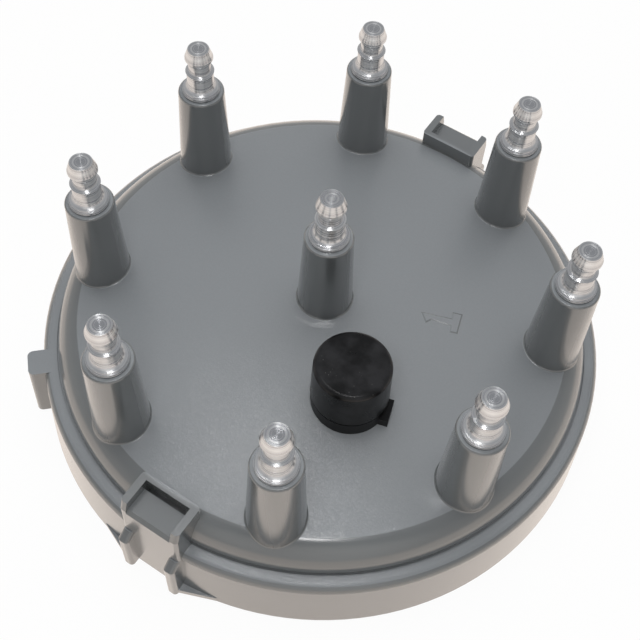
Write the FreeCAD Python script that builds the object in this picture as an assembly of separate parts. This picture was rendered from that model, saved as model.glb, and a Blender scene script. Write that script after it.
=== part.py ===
import FreeCAD, Part
import math
import os

# Distributor cap for an eight-cylinder engine, in millimetres.
# The origin is on the axis in the plane of the open rim, with +Z up through the towers.
# The two spring-clip boxes lie on the Y axis and tower number 1 is at 22.5 degrees from +X.

# Skirt and register
register_bore = 60.9        # inside radius of the open skirt, which fits over the housing
skirt_wall = 4.0            # skirt thickness at the open rim
skirt_draft = 0.8           # how much the skirt narrows from the rim up to the flange
flange_top = 15.8           # height of the ledge that runs round above the skirt
flange_round = 1.7          # outer corner of the ledge
flange_ledge = 3.6          # width of the ledge
groove_width = 0.45         # fine groove at the foot of the shoulder
groove_depth = 0.5
rim_chamfer = 0.5           # lead-in chamfer of the register bore

# Shoulder, deck and inside
cover_wall = 3.1            # thickness of the deck, the shoulder and the seat ledge
shoulder_wall = 0.6         # straight wall above the ledge
shoulder_round = 6.5        # quarter round from the wall up to the deck
crease_tilt = 13.0          # slope in degrees where the shoulder meets the deck
deck_crown = 4.54           # rise of the domed deck from its edge to the middle
inner_round = 3.4           # corner between the inside wall and the ceiling

# Towers
tower_count = 8
tower_first_angle = 22.5    # tower number 1, measured from +X
tower_inset = 8.7           # tower axis in from the shoulder wall
tower_rise = 24.34          # tower top above the edge of the deck
tower_top_radius = 5.3
tower_taper = 2.3           # degrees on the side
tower_lip_round = 0.5       # outer corner at the top of a tower
tower_foot_round = 0.4      # fillet where a tower grows out of the deck
coil_tower_extra = 2.3      # how much taller the middle tower is

# Terminals, turned aluminium: each height is added to the one before, from the tower's top face
shank_radius = 2.6
shank_clearance = 0.02      # round the shank in its moulded bore
seat_radius = 3.9
seat_height = 0.3
collar_radius = 4.3
collar_height = 0.6
step_radius = 4.05
step_height = 0.45
barrel_radius = 3.05
barrel_height = 3.85        # from the top of the concave sweep at its foot to the lip's edge
lip_radius = 3.25
lip_flare = 0.5             # height over which the barrel flares out to the lip
neck_step = 0.3
neck_radius = 2.5
neck_straight = 1.3
neck_sweep = 2.2            # concave sweep from the neck out to the head
head_radius = 3.18
head_land = 0.4
head_cone = 2.2
disc_radius = 2.4

# Inner electrodes, bosses and carbon button
electrode_gap = 0.3         # inner end of an electrode above the seat ledge
electrode_point = 0.6       # chamfer at its inner end
boss_radius = 4.7
boss_drop = 4.0
boss_rib_width = 5.0        # rib that ties a boss to the side wall
coil_boss_radius = 6.0
coil_boss_drop = 5.5
coil_reach = 4.5            # end of the middle terminal below the ceiling, inside its boss
button_radius = 2.4
button_show = 3.6           # carbon standing out below the middle boss
button_clearance = 0.05
button_round = 0.8

# Clip boxes, one at each end of the Y axis
box_width = 14.4
box_arm = 1.7               # thickness of the two arms
box_wall = 1.4              # thickness of the inner wall, on the deck side
box_rise = 3.39             # top of the walls above the edge of the deck
box_depth = 7.7             # inner face to the ends of the arms
box_setback = 0.5           # ends of the arms in from the flange
box_lean = 0.8              # how much the ends of the arms slope out down to the sill
sill_drop = 2.6             # outer edge of the sill below the top of the walls
sill_slope = 0.2            # fall of the sill towards the slot
sill_chamfer = 0.8
slot_width = 0.9            # slot between the sill and the inner wall, for the clip's hook
slot_drop = 6.0             # depth of that slot from the top of the walls
box_edge_round = 0.9

# Clip guides and their webs below each box
guide_width = 2.6
guide_stand = 2.2           # how far a guide stands out from the rim
guide_height = 12.5         # up to the foot of its sloping top
guide_slope = 1.6           # height of the sloping top
guide_round = 0.9
web_length = 7.8
web_height = 1.6

# Locating key on the skirt
key_angle = 223.9
key_width = 6.2             # at its top, which is flush with the ledge
key_stand = 3.4             # from the edge of the ledge
key_draft = 0.5             # how much each side spreads down to its foot
key_foot = 0.3              # bottom of the key above the rim
key_round = 1.3

# Vent: a base clipped into the deck, and a loose-fitting rain cap over its neck
vent_angle = -45.0
vent_pitch = 25.7
vent_bore = 2.4             # radius of the breather hole
vent_stem_radius = 5.0
vent_stem_clearance = 0.1
vent_bead = 0.7             # lip under the ceiling that holds the base
vent_bead_height = 1.2
vent_bead_gap = 0.1
vent_base_inset = 0.1       # base in from the foot of the cap over it
vent_base_height = 2.9      # above the deck at its centre
vent_tab_width = 5.4
vent_tab_offset = 1.3        # middle of the tab off its radius, clockwise
vent_tab_stand = 1.1
vent_tab_angle = 16.8       # from +X
vent_tab_height = 1.6
vent_neck_radius = 5.4
vent_notch_width = 2.4
vent_notch_height = 2.0
vent_cap_radius = 8.45
vent_cap_draft = 0.25
vent_cap_height = 10.6
vent_cap_wall = 1.5
vent_cap_round = 1.1
vent_cap_gap = 0.5          # breathing gap between the cap's skirt and the base
vent_rib_count = 4
vent_rib_width = 1.6
vent_rib_fit = 0.05

# Sizes that follow from the ones above
near = 0.01                 # edges within this of a level or a plane count as lying on it
rim_radius = register_bore + skirt_wall
flange_radius = rim_radius - skirt_draft
shoulder_radius = flange_radius - flange_ledge
cavity_radius = shoulder_radius - cover_wall
seat_level = flange_top - cover_wall
tilt = math.radians(crease_tilt)
round_level = flange_top + shoulder_wall
round_centre = shoulder_radius - shoulder_round
crease_radius = round_centre + shoulder_round * math.sin(tilt)
crease_level = round_level + shoulder_round * math.cos(tilt)
deck_top = crease_level + deck_crown
dome_radius = (crease_radius ** 2 + deck_crown ** 2) / (2 * deck_crown)
tower_pitch = shoulder_radius - tower_inset
tower_top = crease_level + tower_rise


def deck_level(radius):
    """Height of the domed deck at a distance from the axis."""
    return deck_top - dome_radius + math.sqrt(dome_radius ** 2 - radius ** 2)


def ceiling_level(radius):
    """Height of the ceiling, one wall below the deck."""
    return deck_level(radius) - cover_wall


def point(radius, height):
    return FreeCAD.Vector(radius, 0, height)


def line(start, end):
    return Part.makeLine(point(*start), point(*end))


def arc(start, middle, end):
    return Part.Arc(point(*start), point(*middle), point(*end)).toShape()


def path(points):
    """Straight edges through a list of (radius, height) points."""
    return [line(a, b) for a, b in zip(points, points[1:])]


def turned(edges):
    """Solid of revolution about the Z axis from a closed half section."""
    face = Part.Face(Part.Wire(edges))
    return face.revolve(FreeCAD.Vector(0, 0, 0), FreeCAD.Vector(0, 0, 1), 360)


def cylinder(radius, bottom, top, at=(0, 0)):
    return Part.makeCylinder(radius, top - bottom, FreeCAD.Vector(at[0], at[1], bottom))


def block(x, y, z):
    """Box from three (low, high) ranges."""
    low = FreeCAD.Vector(x[0], y[0], z[0])
    return Part.makeBox(x[1] - x[0], y[1] - y[0], z[1] - z[0], low)


def prism_x(section, low, high):
    """Solid with a (y, z) outline, drawn out along X."""
    corners = [FreeCAD.Vector(low, y, z) for y, z in section + section[:1]]
    return Part.Face(Part.makePolygon(corners)).extrude(FreeCAD.Vector(high - low, 0, 0))


def prism_z(section, low, high):
    """Solid with an (x, y) outline, drawn out along Z."""
    corners = [FreeCAD.Vector(x, y, low) for x, y in section + section[:1]]
    return Part.Face(Part.makePolygon(corners)).extrude(FreeCAD.Vector(0, 0, high - low))


def turn(shape, angle):
    copy = shape.copy()
    copy.rotate(FreeCAD.Vector(0, 0, 0), FreeCAD.Vector(0, 0, 1), angle)
    return copy


def polar(radius, angle):
    return radius * math.cos(math.radians(angle)), radius * math.sin(math.radians(angle))


tower_angles = [tower_first_angle + index * 360 / tower_count for index in range(tower_count)]
tower_places = [polar(tower_pitch, angle) for angle in tower_angles]
terminal_ceiling = ceiling_level(tower_pitch)
coil_ceiling = ceiling_level(0)
electrode_tip = seat_level + electrode_gap
box_top = crease_level + box_rise
box_front = flange_radius - box_setback
box_back = box_front - box_depth
sill_level = box_top - sill_drop
vent_place = polar(vent_pitch, vent_angle)
vent_base_radius = vent_cap_radius - vent_base_inset
vent_deck = deck_level(vent_pitch)
vent_base_top = vent_deck + vent_base_height
vent_neck_top = vent_base_top + vent_cap_gap + vent_cap_height - vent_cap_wall


def tower_side(height, top):
    """Radius of a tapered tower at a height."""
    return tower_top_radius + (top - height) * math.tan(math.radians(tower_taper))


def tower_head(top):
    """Half section of a tower's flat top and its rounded upper corner, from the axis outwards."""
    lip = tower_lip_round * (1 - math.sqrt(0.5))
    lip_in = (tower_top_radius - tower_lip_round, top)
    lip_out = (tower_top_radius, top - tower_lip_round)
    return [line((0, top), lip_in), arc(lip_in, (tower_top_radius - lip, top - lip), lip_out)]


def bell():
    """Outside of the moulding with its middle tower: a solid turned from one half section."""
    coil_top = tower_top + coil_tower_extra
    lean = math.radians(tower_taper)
    foot_level = deck_top + tower_foot_round
    foot_centre = tower_side(foot_level, coil_top) + tower_foot_round
    foot_start = (foot_centre - tower_foot_round * math.cos(lean),
                  foot_level - tower_foot_round * math.sin(lean))
    foot_middle = (foot_centre - tower_foot_round * math.sqrt(0.5),
                   foot_level - tower_foot_round * math.sqrt(0.5))
    foot_end = (foot_centre, deck_level(foot_centre))
    half = (tilt + math.pi / 2) / 2
    round_start = (crease_radius, crease_level)
    round_middle = (round_centre + shoulder_round * math.sin(half),
                    round_level + shoulder_round * math.cos(half))
    round_end = (shoulder_radius, round_level)
    groove_out = shoulder_radius + groove_width
    corner = flange_round * (1 - math.sqrt(0.5))
    corner_in = (flange_radius - flange_round, flange_top)
    corner_middle = (flange_radius - corner, flange_top - corner)
    corner_out = (flange_radius, flange_top - flange_round)
    edges = tower_head(coil_top)
    edges.append(line((tower_top_radius, coil_top - tower_lip_round), foot_start))
    edges.append(arc(foot_start, foot_middle, foot_end))
    edges.append(arc(foot_end, (crease_radius / 2, deck_level(crease_radius / 2)), round_start))
    edges.append(arc(round_start, round_middle, round_end))
    edges += path([round_end, (shoulder_radius, flange_top - groove_depth),
                   (groove_out, flange_top - groove_depth), (groove_out, flange_top), corner_in])
    edges.append(arc(corner_in, corner_middle, corner_out))
    return turned(edges + path([corner_out, (rim_radius, 0), (0, 0), (0, coil_top)]))


def hollow():
    """The space inside the cap: the register bore, then the cavity up to the domed ceiling."""
    ceiling_edge = cavity_radius - inner_round
    edge_level = ceiling_level(ceiling_edge)
    fall = inner_round * (1 - math.sqrt(0.5))
    edges = path([(0, 0), (register_bore + rim_chamfer, 0), (register_bore, rim_chamfer),
                  (register_bore, seat_level), (cavity_radius, seat_level),
                  (cavity_radius, edge_level - inner_round)])
    edges.append(arc((cavity_radius, edge_level - inner_round),
                     (cavity_radius - fall, edge_level - fall), (ceiling_edge, edge_level)))
    edges.append(arc((ceiling_edge, edge_level),
                     (ceiling_edge / 2, ceiling_level(ceiling_edge / 2)), (0, deck_top - cover_wall)))
    return turned(edges + [line((0, deck_top - cover_wall), (0, 0))])


def tower():
    """One of the outer towers, drawn on the axis and reaching down inside the bell."""
    edges = tower_head(tower_top)
    return turned(edges + path([(tower_top_radius, tower_top - tower_lip_round),
                                (tower_side(seat_level, tower_top), seat_level),
                                (0, seat_level), (0, tower_top)]))


def clip_box():
    """Solid block of a clip box on the -Y side, before its pocket is cut."""
    section = [(-box_back, seat_level), (-box_back, box_top), (-box_front, box_top),
               (-(box_front + box_lean), sill_level), (-rim_radius, 0),
               (-(register_bore + rim_chamfer), 0), (-(register_bore + rim_chamfer), seat_level)]
    solid = prism_x(section, -box_width / 2, box_width / 2)
    corners = [edge for edge in solid.Edges
               if edge.BoundBox.XLength < near and edge.BoundBox.ZLength > box_edge_round]
    return solid.makeFillet(box_edge_round, corners)


def clip_pocket():
    """What is cut from a clip box: the space over the sloping sill and the slot behind it."""
    over = box_rise
    slot_in = box_back + box_wall
    slot_out = slot_in + slot_width
    sill_out = box_front + box_lean
    section = [(-slot_in, box_top + over), (-slot_in, box_top - slot_drop),
               (-slot_out, box_top - slot_drop), (-slot_out, sill_level - sill_slope),
               (-(sill_out - sill_chamfer), sill_level),
               (-(sill_out + over), sill_level - sill_chamfer - over), (-(sill_out + over), box_top + over)]
    return prism_x(section, -box_width / 2 + box_arm, box_width / 2 - box_arm)


def clip_guides():
    """Two rounded guides that keep the spring clip in line, each with a web along the rim."""
    side = box_width / 2
    outer = rim_radius + guide_stand
    inner = register_bore + skirt_wall / 2
    top = guide_height + guide_slope
    section = [(-inner, 0), (-outer, 0), (-outer, guide_height), (-rim_radius, top), (-inner, top)]
    guide = prism_x(section, side - guide_width, side)
    corners = [edge for edge in guide.Edges if edge.BoundBox.XLength < near
               and edge.BoundBox.YMin < -rim_radius - near and edge.BoundBox.ZLength > near]
    guide = guide.makeFillet(guide_round, corners)
    end = side + web_length
    web = prism_z([(side - guide_round, -inner), (side - guide_round, -outer), (side, guide_round - outer),
                   (end, -math.sqrt(rim_radius ** 2 - end ** 2)),
                   (end, -math.sqrt(inner ** 2 - end ** 2))], 0, web_height)
    right = guide.fuse(web)
    return [right, right.mirror(FreeCAD.Vector(0, 0, 0), FreeCAD.Vector(1, 0, 0))]


def locating_key():
    """Key that stands out from the skirt and spreads towards its foot, with round outer corners."""
    inner = shoulder_radius + 2 * groove_width
    outlines = []
    for level, spread in ((key_foot, key_draft), (flange_top, 0)):
        outer = flange_radius + key_stand + spread
        side = key_width / 2 + spread
        corners = [(inner, -side), (outer, -side), (outer, side), (inner, side), (inner, -side)]
        outlines.append(Part.makePolygon([FreeCAD.Vector(x, y, level) for x, y in corners]))
    solid = Part.makeLoft(outlines, True, True)
    corners = [edge for edge in solid.Edges
               if edge.BoundBox.XMin > flange_radius and edge.BoundBox.ZLength > near]
    return turn(solid.makeFillet(key_round, corners), key_angle)


def terminal_boss(x, y, angle):
    """Pillar under the ceiling round one electrode, tied to the side wall by a rib."""
    bottom = terminal_ceiling - boss_drop
    top = terminal_ceiling + cover_wall / 2
    rib = block((tower_pitch, cavity_radius + cover_wall / 2),
                (-boss_rib_width / 2, boss_rib_width / 2), (bottom, terminal_ceiling))
    return [cylinder(boss_radius, bottom, top, (x, y)), turn(rib, angle)]


def terminal(seat, tip):
    """One turned terminal on the axis: its post above the tower and its electrode below."""
    shank_top = (shank_radius, seat)
    profile = [(0, tip), (shank_radius - electrode_point, tip),
               (shank_radius, tip + electrode_point), shank_top, (seat_radius, seat)]
    level = seat + seat_height
    profile += [(seat_radius, level), (collar_radius, level)]
    level += collar_height
    profile += [(collar_radius, level), (step_radius, level)]
    level += step_height
    profile.append((step_radius, level))
    flare = step_radius - barrel_radius
    sweep = flare * (1 - math.sqrt(0.5))
    edges = path(profile)
    edges.append(arc((step_radius, level), (barrel_radius + sweep, level + sweep),
                     (barrel_radius, level + flare)))
    level += flare
    lip = level + barrel_height
    neck = lip + neck_step
    edges += path([(barrel_radius, level), (barrel_radius, lip - lip_flare), (lip_radius, lip),
                   (neck_radius, neck), (neck_radius, neck + neck_straight)])
    under = neck + neck_straight
    head = under + neck_sweep
    bulge = (head_radius - neck_radius) / 4
    edges.append(arc((neck_radius, under), (neck_radius + bulge, under + neck_sweep / 2),
                     (head_radius, head)))
    cone = head + head_land
    edges += path([(head_radius, head), (head_radius, cone), (disc_radius, cone + head_cone),
                   (0, cone + head_cone), (0, tip)])
    return turned(edges)


def carbon_button():
    """Fixed carbon contact under the middle terminal, rounded where the rotor's spring rubs it."""
    top = coil_ceiling - coil_reach
    bottom = coil_ceiling - coil_boss_drop - button_show
    solid = cylinder(button_radius, bottom, top)
    rim = [edge for edge in solid.Edges if edge.BoundBox.ZMax < bottom + near]
    return solid.makeFillet(button_round, rim)


def at_vent(shape):
    shape.translate(FreeCAD.Vector(vent_place[0], vent_place[1], 0))
    return shape


def vent_base():
    """Vent base: a stem through the deck, a disc that lies on the dome, and a notched neck."""
    bead_top = ceiling_level(vent_pitch + vent_stem_radius + vent_bead) - vent_bead_gap
    bead_bottom = bead_top - vent_bead_height
    bead_radius = vent_stem_radius + vent_bead
    stem = turned(path([(vent_bore, bead_bottom), (vent_stem_radius, bead_bottom), (bead_radius, bead_top),
                        (vent_stem_radius, bead_top), (vent_stem_radius, vent_base_top),
                        (vent_bore, vent_base_top), (vent_bore, bead_bottom)]))
    disc = cylinder(vent_base_radius, ceiling_level(vent_pitch), vent_base_top)
    tab = block((0, vent_base_radius + vent_tab_stand),
                (-vent_tab_offset - vent_tab_width / 2, -vent_tab_offset + vent_tab_width / 2),
                (ceiling_level(vent_pitch), vent_deck + vent_tab_height))
    neck = cylinder(vent_neck_radius, vent_deck, vent_neck_top)
    top = disc.fuse([turn(tab, vent_tab_angle), neck])
    for angle in (0, 90):
        notch = block((-vent_base_radius, vent_base_radius), (-vent_notch_width / 2, vent_notch_width / 2),
                      (vent_neck_top - vent_notch_height, vent_neck_top + vent_notch_height))
        top = top.cut(turn(notch, angle))
    top = top.cut(cylinder(vent_bore, 0, vent_neck_top + vent_notch_height))
    dome = Part.makeSphere(dome_radius, FreeCAD.Vector(0, 0, deck_top - dome_radius))
    return at_vent(top).cut(dome).fuse(at_vent(stem)).removeSplitter()


def vent_cap():
    """Rain cap: an upturned cup with ribs inside that grip the neck of the base."""
    bottom = vent_base_top + vent_cap_gap
    top = bottom + vent_cap_height
    top_radius = vent_cap_radius - vent_cap_draft
    inside = vent_cap_radius - vent_cap_wall
    corner = vent_cap_round * (1 - math.sqrt(0.5))
    round_in = (top_radius - vent_cap_round, top)
    round_out = (top_radius, top - vent_cap_round)
    edges = path([(0, vent_neck_top), (inside, vent_neck_top), (inside, bottom),
                  (vent_cap_radius, bottom), round_out])
    edges.append(arc(round_out, (top_radius - corner, top - corner), round_in))
    cup = turned(edges + path([round_in, (0, top), (0, vent_neck_top)]))
    ribs = []
    for index in range(vent_rib_count):
        rib = block((vent_neck_radius + vent_rib_fit, inside + vent_cap_wall / 2),
                    (-vent_rib_width / 2, vent_rib_width / 2),
                    (bottom + vent_cap_wall, vent_neck_top + vent_cap_wall / 2))
        ribs.append(turn(rib, (index + 0.5) * 360 / vent_rib_count))
    return at_vent(cup.fuse(ribs).removeSplitter())


def is_foot(edge):
    """True for an edge where an outer tower meets the deck or the shoulder."""
    middle = edge.CenterOfMass
    if middle.z > deck_top + cover_wall or edge.BoundBox.ZMin < round_level:
        return False
    for x, y in tower_places:
        if math.hypot(middle.x - x, middle.y - y) < tower_top_radius + 2 * tower_foot_round:
            return True
    return False


def cap_body():
    """The grey moulding: bell, towers, clip boxes and key as one piece, hollow inside."""
    towers = []
    for x, y in tower_places:
        solid = tower()
        solid.translate(FreeCAD.Vector(x, y, 0))
        towers.append(solid)
    body = bell().fuse(towers)
    body = body.makeFillet(tower_foot_round, [edge for edge in body.Edges if is_foot(edge)])
    for angle in (0, 180):
        body = body.fuse([turn(solid, angle) for solid in [clip_box()] + clip_guides()])
    body = body.fuse(locating_key()).cut(hollow())
    bosses = []
    bores = [cylinder(vent_stem_radius + vent_stem_clearance, seat_level, deck_top + cover_wall, vent_place)]
    for angle, (x, y) in zip(tower_angles, tower_places):
        bosses += terminal_boss(x, y, angle)
        bores.append(cylinder(shank_radius + shank_clearance, 0, tower_top + cover_wall, (x, y)))
    bosses.append(cylinder(coil_boss_radius, coil_ceiling - coil_boss_drop, coil_ceiling + cover_wall / 2))
    button_top = coil_ceiling - coil_reach
    bores.append(cylinder(button_radius + button_clearance, 0, button_top))
    bores.append(cylinder(shank_radius + shank_clearance, button_top,
                          tower_top + coil_tower_extra + cover_wall))
    pockets = [clip_pocket(), turn(clip_pocket(), 180)]
    return body.fuse(bosses).cut(bores + pockets).removeSplitter()


def save(name, shape):
    solid = shape.Solids[0] if len(shape.Solids) == 1 else shape
    solid.exportStep(f"parts/{name}.step")
    print(f"{name}: {len(shape.Solids)} solid, {solid.Volume:.0f} mm3, valid {solid.isValid()}")


os.makedirs("parts", exist_ok=True)
save("cap_body", cap_body())
for number, (x, y) in enumerate(tower_places, start=1):
    post = terminal(tower_top, electrode_tip)
    post.translate(FreeCAD.Vector(x, y, 0))
    save(f"plug_terminal_{number}", post)
save("coil_terminal", terminal(tower_top + coil_tower_extra, coil_ceiling - coil_reach))
save("carbon_button", carbon_button())
save("vent_base", vent_base())
save("vent_cap", vent_cap())
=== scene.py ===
import math
import bpy
import numpy as np
from mathutils import Matrix, Vector


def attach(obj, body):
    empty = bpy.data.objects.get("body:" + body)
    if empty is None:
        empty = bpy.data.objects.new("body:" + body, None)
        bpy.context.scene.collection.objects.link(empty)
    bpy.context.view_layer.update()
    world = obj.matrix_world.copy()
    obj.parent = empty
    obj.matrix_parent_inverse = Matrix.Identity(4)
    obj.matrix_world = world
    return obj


# Distributor cap for an eight-cylinder engine, standing on its open rim.
# Metres, in the frame of the solids: the axis is Z, the rim lies in z = 0,
# the clip boxes lie on Y and tower number 1 is at 22.5 degrees from +X.
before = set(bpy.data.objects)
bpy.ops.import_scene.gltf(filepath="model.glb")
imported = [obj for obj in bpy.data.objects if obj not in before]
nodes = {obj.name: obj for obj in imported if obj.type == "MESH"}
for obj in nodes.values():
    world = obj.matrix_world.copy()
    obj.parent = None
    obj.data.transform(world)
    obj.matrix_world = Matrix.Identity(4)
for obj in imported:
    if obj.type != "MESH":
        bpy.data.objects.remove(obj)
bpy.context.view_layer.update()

# Camera. It looks down at the cap from above its front clip box, a little rolled,
# with the frame's centre set a few pixels off the lens's axis.
camera_at = Vector((0.06822, -0.11960, 0.23301))
camera_turn, camera_tilt, camera_roll = (math.radians(angle) for angle in (29.7, 57.123, 4.263))
back = Vector((math.sin(camera_turn) * math.cos(camera_tilt),
               -math.cos(camera_turn) * math.cos(camera_tilt), math.sin(camera_tilt)))
level = (-back).cross(Vector((0, 0, 1))).normalized()
upright = level.cross(-back)
right = level * math.cos(camera_roll) + upright * math.sin(camera_roll)
up = upright * math.cos(camera_roll) - level * math.sin(camera_roll)
lens = bpy.data.cameras.new("camera")
lens.lens = 62.11
lens.sensor_width = 36.0
lens.sensor_fit = "HORIZONTAL"
lens.shift_x = -0.0054
lens.shift_y = -0.0103
lens.clip_start = 0.01
camera = bpy.data.objects.new("camera", lens)
pose = Matrix((right, up, back)).transposed().to_4x4()
pose.translation = camera_at
camera.matrix_world = pose
bpy.context.scene.collection.objects.link(camera)
bpy.context.scene.camera = camera
bpy.context.scene.view_settings.view_transform = "Standard"

# Floor. A sheet of matt white paper that the cap stands on. It is nearly white to the eye
# and in reflections, and keeps a faint shadow round the rim.
floor_reach = 2.0
floor_drop = 5e-5              # below the rim, so that the two faces don't fight
floor_glow = 0.95
clumps_per_metre = 900.0       # clumps of paper fibres, about 1 mm across
reflected_floor = (1.0, 0.90, 0.82, 1)


def linear(colour):
    """Linear RGBA of an sRGB hex colour."""
    value = np.array([int(colour[place:place + 2], 16) for place in (1, 3, 5)]) / 255
    value = np.where(value <= 0.04045, value / 12.92, ((value + 0.055) / 1.055) ** 2.4)
    return (*value, 1.0)


def add_node(tree, kind, inputs=None, **settings):
    """Adds a node. Settings go on the node itself, and inputs are values or sockets to link."""
    node = tree.nodes.new(kind)
    for name, value in settings.items():
        setattr(node, name, value)
    for key, value in (inputs or {}).items():
        if isinstance(value, bpy.types.NodeSocket):
            tree.links.new(value, node.inputs[key])
        else:
            node.inputs[key].default_value = value
    return node


def blank_material(name):
    """A new material and its empty node tree."""
    material = bpy.data.materials.new(name)
    material.use_nodes = True
    material.node_tree.nodes.clear()
    return material, material.node_tree


def mesh_piece(name, points, faces, material):
    """Mesh object from an array of points and lists of point numbers, with its place in its mesh."""
    mesh = bpy.data.meshes.new(name)
    mesh.from_pydata(np.asarray(points, float).tolist(), [], [list(face) for face in faces])
    mesh.update()
    mesh.materials.append(material)
    piece = bpy.data.objects.new(name, mesh)
    bpy.context.scene.collection.objects.link(piece)
    return piece


paper, tree = blank_material("matt white paper")
rays = add_node(tree, "ShaderNodeLightPath")
seen = add_node(tree, "ShaderNodeMath", {0: rays.outputs["Is Camera Ray"], 1: rays.outputs["Is Glossy Ray"]},
                operation="MAXIMUM")
seen = add_node(tree, "ShaderNodeMath", {0: seen.outputs[0], 1: rays.outputs["Is Transmission Ray"]},
                operation="MAXIMUM")
share = add_node(tree, "ShaderNodeMath", {0: seen.outputs[0], 1: floor_glow}, operation="MULTIPLY")
place = add_node(tree, "ShaderNodeTexCoord")
tooth = add_node(tree, "ShaderNodeTexNoise", {"Vector": place.outputs["Object"], "Scale": clumps_per_metre,
                                              "Detail": 2.0})
tint = add_node(tree, "ShaderNodeMix", {0: tooth.outputs[0], 6: linear("#f7f6f4"), 7: linear("#fdfcfa")},
                data_type="RGBA")
plain = add_node(tree, "ShaderNodeBsdfDiffuse", {"Color": tint.outputs[2]})
warmth = add_node(tree, "ShaderNodeMix", {0: rays.outputs["Is Glossy Ray"], 6: (1.0, 1.0, 1.0, 1),
                                          7: reflected_floor}, data_type="RGBA")
glow = add_node(tree, "ShaderNodeEmission", {"Color": warmth.outputs[2], "Strength": 1.0})
both = add_node(tree, "ShaderNodeMixShader", {0: share.outputs[0], 1: plain.outputs[0], 2: glow.outputs[0]})
add_node(tree, "ShaderNodeOutputMaterial", {"Surface": both.outputs[0]})
corners = [(-floor_reach, -floor_reach, -floor_drop), (floor_reach, -floor_reach, -floor_drop),
           (floor_reach, floor_reach, -floor_drop), (-floor_reach, floor_reach, -floor_drop)]
floor = mesh_piece("floor", corners, [(0, 1, 2, 3)], paper)

# Surroundings. A white tent: white to the eye, and in reflections bright at the horizon, greyer
# overhead and brightest low in front. It puts a little even light on everything matt.
horizon_shine = (0.55, 0.54, 0.53, 1)
ceiling_shine = (0.36, 0.37, 0.385, 1)
front_shine = (0.75, 0.74, 0.73, 1)
front_way = (0.48, -0.76, 0.44)
even_light = (0.22, 0.22, 0.22, 1)
world = bpy.data.worlds.new("white studio")
world.use_nodes = True
tree = world.node_tree
tree.nodes.clear()
rays = add_node(tree, "ShaderNodeLightPath")
direction = add_node(tree, "ShaderNodeTexCoord")
height = add_node(tree, "ShaderNodeSeparateXYZ", {0: direction.outputs["Generated"]})
ceiling = add_node(tree, "ShaderNodeMapRange", {"Value": height.outputs["Z"], "From Min": 0.05,
                                                "From Max": 0.80}, interpolation_type="SMOOTHSTEP")
shine = add_node(tree, "ShaderNodeMix", {0: ceiling.outputs[0], 6: horizon_shine, 7: ceiling_shine},
                 data_type="RGBA")
toward = add_node(tree, "ShaderNodeVectorMath", {0: direction.outputs["Generated"], 1: front_way},
                  operation="DOT_PRODUCT")
window = add_node(tree, "ShaderNodeMapRange", {"Value": toward.outputs["Value"], "From Min": 0.75,
                                               "From Max": 0.97}, interpolation_type="SMOOTHSTEP")
shine = add_node(tree, "ShaderNodeMix", {0: window.outputs[0], 6: shine.outputs[2], 7: front_shine},
                 data_type="RGBA")
unseen = add_node(tree, "ShaderNodeMix", {0: rays.outputs["Is Glossy Ray"], 6: even_light,
                                          7: shine.outputs[2]}, data_type="RGBA")
seen = add_node(tree, "ShaderNodeMath", {0: rays.outputs["Is Camera Ray"],
                                         1: rays.outputs["Is Transmission Ray"]}, operation="MAXIMUM")
tent = add_node(tree, "ShaderNodeMix", {0: seen.outputs[0], 6: unseen.outputs[2], 7: (1, 1, 1, 1)},
                data_type="RGBA")
sky = add_node(tree, "ShaderNodeBackground", {"Color": tent.outputs[2], "Strength": 1.0})
add_node(tree, "ShaderNodeOutputWorld", {"Surface": sky.outputs[0]})
bpy.context.scene.world = world

# Lamps. A large softbox behind the cap and a weak one by the camera give the light. A tube and a
# small lamp overhead are the two that show as glints in the grain, on the metal and along edges.
cap_middle = (0.0, 0.0, 0.02)


def area_light(name, place, width, length, power):
    """Rectangular white light at a place, facing the middle of the cap."""
    light = bpy.data.lights.new(name, "AREA")
    light.shape = "RECTANGLE"
    light.size = width
    light.size_y = length
    light.energy = power
    lamp = bpy.data.objects.new(name, light)
    lamp.location = place
    lamp.rotation_euler = (Vector(cap_middle) - Vector(place)).to_track_quat("-Z", "Y").to_euler()
    bpy.context.scene.collection.objects.link(lamp)
    return lamp


softbox = area_light("overhead_softbox", (-0.15, 0.28, 0.96), 1.0, 1.0, 6.1)
softbox.visible_glossy = False
fill = area_light("fill", camera_at + up * 0.02 - right * 0.035, 0.05, 0.05, 0.085)
fill.visible_glossy = False
area_light("tube_overhead", (-0.18, 0.05, 0.98), 0.05, 0.30, 0.42)
area_light("lamp_front", (0.08, -0.15, 0.98), 0.14, 0.14, 0.85)

# Cap body. Glass-filled polyester, injection moulded in one shot: the deck and the ledge carry a
# fine spark-eroded grain that glitters near a highlight, and the drafted walls come out smooth. The walls
# are painted a darker grey and the up-facing grained faces a lighter grey, as painted shade and painted
# light for the light that falls from above. The clear resin at the surface is a thin coat, a little rounded
# at edges.
grain_size = 0.00045           # the real grain is about 0.1 mm, drawn coarser so that it shows
fibre_size = 0.00020           # a real fibre is about 0.02 mm thick, drawn coarser for the same reason
facet_tilt = 0.18
clouds_per_metre = 60.0        # patches of slightly different grey, about 17 mm across
coat_roughness = 0.20
edge_of_deck = (0.0560, 0.0570)      # radii where the grain of the deck fades
deck_from = (0.02268, 0.02276)       # heights where it starts, at the crease
ledge_up_to = (0.0160, 0.0163)       # heights where the grain of the ledge ends
ledge_rounding = (0.0596, 0.0622)    # radii over which the coat on the ledge leans out
brim_rounding = (0.0538, 0.0556)     # the same just inside the crease
foot_rounding = (0.0070, 0.0089)     # the same round the foot of the middle tower
plastic, tree = blank_material("glass-filled polyester, moulded")
place = add_node(tree, "ShaderNodeTexCoord")
facing = add_node(tree, "ShaderNodeSeparateXYZ", {0: place.outputs["Normal"]})
spot = add_node(tree, "ShaderNodeSeparateXYZ", {0: place.outputs["Object"]})
plan = add_node(tree, "ShaderNodeCombineXYZ", {"X": spot.outputs["X"], "Y": spot.outputs["Y"]})
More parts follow.
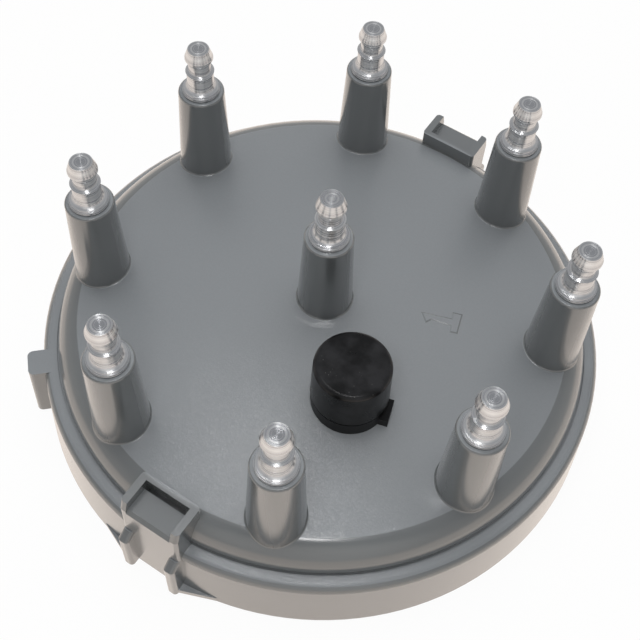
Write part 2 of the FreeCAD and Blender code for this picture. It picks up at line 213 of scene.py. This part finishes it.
radius = add_node(tree, "ShaderNodeVectorMath", {0: plan.outputs[0]}, operation="LENGTH")
outward = add_node(tree, "ShaderNodeVectorMath", {0: plan.outputs[0]}, operation="NORMALIZE")
inside = add_node(tree, "ShaderNodeMapRange", {
    "Value": radius.outputs["Value"], "From Min": edge_of_deck[0], "From Max": edge_of_deck[1],
    "To Min": 1.0, "To Max": 0.2})
deck = add_node(tree, "ShaderNodeMapRange", {
    "Value": spot.outputs["Z"], "From Min": deck_from[0], "From Max": deck_from[1]})
deck = add_node(tree, "ShaderNodeMath", {0: deck.outputs[0], 1: inside.outputs[0]}, operation="MULTIPLY")
ledge = add_node(tree, "ShaderNodeMapRange", {
    "Value": spot.outputs["Z"], "From Min": ledge_up_to[0], "From Max": ledge_up_to[1],
    "To Min": 1.0, "To Max": 0.0})
grained = add_node(tree, "ShaderNodeMath", {0: deck.outputs[0], 1: ledge.outputs[0]}, operation="MAXIMUM")
flat = add_node(tree, "ShaderNodeMapRange", {
    "Value": facing.outputs["Z"], "From Min": 0.85, "From Max": 0.97}, interpolation_type="SMOOTHSTEP")
flat = add_node(tree, "ShaderNodeMath", {0: flat.outputs[0], 1: grained.outputs[0]}, operation="MULTIPLY")
grain = add_node(tree, "ShaderNodeTexNoise", {"Vector": place.outputs["Object"], "Scale": 1 / grain_size,
                                              "Detail": 2.0, "Roughness": 0.6})
cloud = add_node(tree, "ShaderNodeTexNoise", {"Vector": place.outputs["Object"], "Scale": clouds_per_metre,
                                              "Detail": 4.0})
# Painted shade and painted light: the walls get the darker grey and the up-facing grained faces the lighter
# grey, in place of light falling from above; the cloud and grain in each are the plastic's own tone.
wall_painted_shade = add_node(tree, "ShaderNodeMix", {0: cloud.outputs[0], 6: linear("#636667"), 7: linear("#696c6d")},
                data_type="RGBA")
top_painted_light = add_node(tree, "ShaderNodeMix", {0: grain.outputs[0], 6: linear("#82868a"), 7: linear("#898d90")},
                data_type="RGBA")
colour = add_node(tree, "ShaderNodeMix", {0: flat.outputs[0], 6: wall_painted_shade.outputs[2], 7: top_painted_light.outputs[2]},
                  data_type="RGBA")
rough = add_node(tree, "ShaderNodeMapRange", {"Value": flat.outputs[0], "To Min": 0.18, "To Max": 0.34})
gloss = add_node(tree, "ShaderNodeMapRange", {"Value": flat.outputs[0], "To Min": 0.85, "To Max": 0.35})
relief = add_node(tree, "ShaderNodeMapRange", {"Value": flat.outputs[0], "To Min": 0.04, "To Max": 0.35})
bump = add_node(tree, "ShaderNodeBump", {"Strength": relief.outputs[0], "Distance": 0.00004,
                                         "Height": grain.outputs[0]})
# Each fibre end is a facet with its own small random tilt in the coat.
flakes = add_node(tree, "ShaderNodeTexVoronoi", {"Vector": place.outputs["Object"], "Scale": 1 / fibre_size})
tilt = add_node(tree, "ShaderNodeVectorMath", {0: flakes.outputs["Color"], 1: (0.5, 0.5, 0.5)},
                operation="SUBTRACT")
amount = add_node(tree, "ShaderNodeMath", {0: flat.outputs[0], 1: facet_tilt}, operation="MULTIPLY")
tilt = add_node(tree, "ShaderNodeVectorMath", {0: tilt.outputs[0], "Scale": amount.outputs[0]},
                operation="SCALE")
# The coat leans outwards on the ledge, at the brim of the deck and round the middle tower's foot.
crown = add_node(tree, "ShaderNodeMapRange", {
    "Value": radius.outputs["Value"], "From Min": ledge_rounding[0], "From Max": ledge_rounding[1],
    "To Min": 0.05, "To Max": 0.16})
crown = add_node(tree, "ShaderNodeMath", {0: crown.outputs[0], 1: ledge.outputs[0]}, operation="MULTIPLY")
brim = add_node(tree, "ShaderNodeMapRange", {
    "Value": radius.outputs["Value"], "From Min": brim_rounding[0], "From Max": brim_rounding[1],
    "To Max": 0.08})
foot = add_node(tree, "ShaderNodeMapRange", {
    "Value": radius.outputs["Value"], "From Min": foot_rounding[0], "From Max": foot_rounding[1],
    "To Min": 0.45, "To Max": 0.0})
slopes = add_node(tree, "ShaderNodeMath", {0: brim.outputs[0], 1: foot.outputs[0]}, operation="ADD")
slopes = add_node(tree, "ShaderNodeMath", {0: slopes.outputs[0], 1: deck.outputs[0]}, operation="MULTIPLY")
slopes = add_node(tree, "ShaderNodeMath", {0: crown.outputs[0], 1: slopes.outputs[0]}, operation="ADD")
lean = add_node(tree, "ShaderNodeVectorMath", {0: outward.outputs[0], "Scale": slopes.outputs[0]},
                operation="SCALE")
surface = add_node(tree, "ShaderNodeNewGeometry")
glitter = add_node(tree, "ShaderNodeVectorMath", {0: surface.outputs["Normal"], 1: tilt.outputs[0]},
                   operation="ADD")
glitter = add_node(tree, "ShaderNodeVectorMath", {0: glitter.outputs[0], 1: lean.outputs[0]}, operation="ADD")
glitter = add_node(tree, "ShaderNodeVectorMath", {0: glitter.outputs[0]}, operation="NORMALIZE")
finish = add_node(tree, "ShaderNodeBsdfPrincipled", {
    "Base Color": colour.outputs[2], "Roughness": rough.outputs[0], "IOR": 1.58,
    "Specular IOR Level": gloss.outputs[0], "Normal": bump.outputs[0],
    "Coat Weight": 0.9, "Coat Roughness": coat_roughness, "Coat IOR": 1.6, "Coat Normal": glitter.outputs[0]})
add_node(tree, "ShaderNodeOutputMaterial", {"Surface": finish.outputs[0]})
nodes["cap_body"].material_slots[0].material = plastic

# Numeral. A raised figure 1 at the foot of the first tower, moulded with the cap in the same polyester,
# 0.14 mm high with drafted sides. It is read from the rim, where its foot lies.
numeral_angle = math.radians(22.5)
numeral_height = 0.00014
numeral_sunk = 0.0001          # how far its sides go under the deck
numeral_draft = 0.0005         # how far they spread on the way down
dome_top = 0.027273
dome_radius = 0.3410
numeral_outline = np.array([(30.3, -2.5), (30.8, 2.3), (29.1, 2.3), (29.1, 0.6), (22.3, 0.6),
                            (23.3, -1.25), (24.3, -0.4), (29.1, -0.9), (29.1, -2.5)]) / 1000


def deck_height(radius):
    """Height of the domed deck, which is part of a sphere with its top on the axis."""
    return dome_top - dome_radius + np.sqrt(dome_radius ** 2 - radius ** 2)


def numeral_ring(spread, lift):
    """The outline moved out along its mitred corner normals, at a height above the dome."""
    before = numeral_outline - np.roll(numeral_outline, 1, axis=0)
    before /= np.linalg.norm(before, axis=1, keepdims=True)
    after = np.roll(before, -1, axis=0)
    side_in = np.stack([before[:, 1], -before[:, 0]], axis=1)
    side_out = np.stack([after[:, 1], -after[:, 0]], axis=1)
    mitre = (side_in + side_out) / (1 + np.sum(side_in * side_out, axis=1, keepdims=True))
    out, across = (numeral_outline + spread * mitre).T
    x = out * math.cos(numeral_angle) - across * math.sin(numeral_angle)
    y = out * math.sin(numeral_angle) + across * math.cos(numeral_angle)
    return np.stack([x, y, deck_height(np.hypot(x, y)) + lift], axis=1)


count = len(numeral_outline)
points = np.concatenate([numeral_ring(numeral_draft, -numeral_sunk), numeral_ring(0.0, numeral_height)])
here = np.arange(count)
after = np.roll(here, -1)
sides = np.stack([here, after, after + count, here + count], axis=1)
ends = [list(range(count - 1, -1, -1)), list(range(count, 2 * count))]
numeral = mesh_piece("numeral_1", points, sides.tolist() + ends, plastic)
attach(numeral, "root")

# Terminals. Nine aluminium posts turned on an automatic lathe, moulded into their towers: the cutter
# leaves rings round each axis, which draw a bright line across the flat ends.
post_pitch = 0.0518
ring_size = 0.0006             # the real rings are about 0.1 mm apart, drawn coarser so that they show
nick_size = 0.0011
posts = {"coil_terminal": (0.0, 0.0)}
for number in range(8):
    angle = math.radians(22.5 + 45 * number)
    posts[f"plug_terminal_{number + 1}"] = (post_pitch * math.cos(angle), post_pitch * math.sin(angle))
for name, (x, y) in posts.items():
    metal, tree = blank_material(f"turned aluminium, {name}")
    place = add_node(tree, "ShaderNodeTexCoord")
    axis = add_node(tree, "ShaderNodeMapping", {"Vector": place.outputs["Object"], "Location": (-x, -y, 0)})
    spot = add_node(tree, "ShaderNodeSeparateXYZ", {0: axis.outputs[0]})
    plan = add_node(tree, "ShaderNodeCombineXYZ", {"X": spot.outputs["X"], "Y": spot.outputs["Y"]})
    radius = add_node(tree, "ShaderNodeVectorMath", {0: plan.outputs[0]}, operation="LENGTH")
    tangent = add_node(tree, "ShaderNodeVectorMath", {0: (0, 0, 1), 1: plan.outputs[0]},
                       operation="CROSS_PRODUCT")
    track = add_node(tree, "ShaderNodeCombineXYZ", {"X": radius.outputs["Value"], "Y": spot.outputs["Z"]})
    rings = add_node(tree, "ShaderNodeTexNoise", {"Vector": track.outputs[0], "Scale": 1 / ring_size,
                                                  "Detail": 2.0, "Roughness": 0.6}, noise_dimensions="2D")
    nicks = add_node(tree, "ShaderNodeTexNoise", {"Vector": axis.outputs[0], "Scale": 1 / nick_size,
                                                  "Detail": 3.0})
    band = add_node(tree, "ShaderNodeMapRange", {"Value": rings.outputs[0], "From Min": 0.35,
                                                 "From Max": 0.65})
    wear = add_node(tree, "ShaderNodeMix", {0: band.outputs[0], 6: linear("#c9cacd"), 7: linear("#f6f6f6")},
                    data_type="RGBA")
    dull = add_node(tree, "ShaderNodeMapRange", {"Value": band.outputs[0], "To Min": 0.25, "To Max": 0.35})
    turned = add_node(tree, "ShaderNodeBump", {"Strength": 1.0, "Distance": 0.00001,
                                               "Height": rings.outputs[0]})
    worn = add_node(tree, "ShaderNodeBump", {"Strength": 0.05, "Distance": 0.00004,
                                             "Height": nicks.outputs[0], "Normal": turned.outputs[0]})
    finish = add_node(tree, "ShaderNodeBsdfPrincipled", {
        "Base Color": wear.outputs[2], "Metallic": 1.0, "Roughness": dull.outputs[0], "Anisotropic": 0.9,
        "Anisotropic Rotation": 0.25, "Tangent": tangent.outputs[0], "Normal": worn.outputs[0]})
    add_node(tree, "ShaderNodeOutputMaterial", {"Surface": finish.outputs[0]})
    nodes[name].material_slots[0].material = metal

# Carbon button. A pressed carbon rod under the middle terminal, where the rotor's spring rubs it:
# nearly black and dull, with fine pits.
grit_size = 0.0002             # coarser than real carbon grit, so that it shows
carbon, tree = blank_material("pressed carbon")
place = add_node(tree, "ShaderNodeTexCoord")
grit = add_node(tree, "ShaderNodeTexNoise", {"Vector": place.outputs["Object"], "Scale": 1 / grit_size,
                                             "Detail": 2.0})
colour = add_node(tree, "ShaderNodeMix", {0: grit.outputs[0], 6: linear("#1d1d1e"), 7: linear("#37373a")},
                  data_type="RGBA")
pits = add_node(tree, "ShaderNodeBump", {"Strength": 0.4, "Distance": 0.00002, "Height": grit.outputs[0]})
finish = add_node(tree, "ShaderNodeBsdfPrincipled", {"Base Color": colour.outputs[2], "Roughness": 0.55,
                                                     "Normal": pits.outputs[0]})
add_node(tree, "ShaderNodeOutputMaterial", {"Surface": finish.outputs[0]})
nodes["carbon_button"].material_slots[0].material = carbon

# Vent. A black nylon base clipped through the deck, with a soft sheen from its mould, and a moulded
# rubber rain cap pushed over its neck, satin and a little hazy, with the dust that rubber holds.
ripple_size = 0.0009
haze_size = 0.0035
dust_spacing = 0.0007
dust_cover = 0.7
nylon, tree = blank_material("black nylon, moulded")
place = add_node(tree, "ShaderNodeTexCoord")
ripple = add_node(tree, "ShaderNodeTexNoise", {"Vector": place.outputs["Object"], "Scale": 1 / ripple_size,
                                               "Detail": 2.0})
colour = add_node(tree, "ShaderNodeMix", {0: ripple.outputs[0], 6: linear("#070708"), 7: linear("#0e0e0f")},
                  data_type="RGBA")
wave = add_node(tree, "ShaderNodeBump", {"Strength": 0.3, "Distance": 0.00004, "Height": ripple.outputs[0]})
finish = add_node(tree, "ShaderNodeBsdfPrincipled", {"Base Color": colour.outputs[2], "Roughness": 0.40,
                                                     "Specular IOR Level": 0.3, "Normal": wave.outputs[0]})
add_node(tree, "ShaderNodeOutputMaterial", {"Surface": finish.outputs[0]})
nodes["vent_base"].material_slots[0].material = nylon

rubber, tree = blank_material("black moulded rubber")
place = add_node(tree, "ShaderNodeTexCoord")
haze = add_node(tree, "ShaderNodeTexNoise", {"Vector": place.outputs["Object"], "Scale": 1 / haze_size,
                                             "Detail": 5.0})
motes = add_node(tree, "ShaderNodeTexVoronoi", {"Vector": place.outputs["Object"], "Scale": 1 / dust_spacing})
mote = add_node(tree, "ShaderNodeMapRange", {"Value": motes.outputs["Distance"], "From Min": 0.06,
                                             "From Max": 0.14, "To Min": 1.0, "To Max": 0.0})
pick = add_node(tree, "ShaderNodeSeparateColor", {0: motes.outputs["Color"]})
few = add_node(tree, "ShaderNodeMapRange", {"Value": pick.outputs["Red"], "From Min": 0.86, "From Max": 0.96})
dust = add_node(tree, "ShaderNodeMath", {0: mote.outputs[0], 1: few.outputs[0]}, operation="MULTIPLY")
dust = add_node(tree, "ShaderNodeMath", {0: dust.outputs[0], 1: dust_cover}, operation="MULTIPLY")
patchy = add_node(tree, "ShaderNodeMapRange", {"Value": haze.outputs[0], "From Min": 0.40, "From Max": 0.65})
black = add_node(tree, "ShaderNodeMix", {0: patchy.outputs[0], 6: linear("#080809"), 7: linear("#202022")},
                 data_type="RGBA")
colour = add_node(tree, "ShaderNodeMix", {0: dust.outputs[0], 6: black.outputs[2], 7: linear("#8c8a86")},
                  data_type="RGBA")
rough = add_node(tree, "ShaderNodeMapRange", {"Value": haze.outputs[0], "To Min": 0.20, "To Max": 0.42})
soft = add_node(tree, "ShaderNodeBump", {"Strength": 0.35, "Distance": 0.00006, "Height": haze.outputs[0]})
finish = add_node(tree, "ShaderNodeBsdfPrincipled", {
    "Base Color": colour.outputs[2], "Roughness": rough.outputs[0], "Specular IOR Level": 0.35,
    "Normal": soft.outputs[0]})
add_node(tree, "ShaderNodeOutputMaterial", {"Surface": finish.outputs[0]})
nodes["vent_cap"].material_slots[0].material = rubber
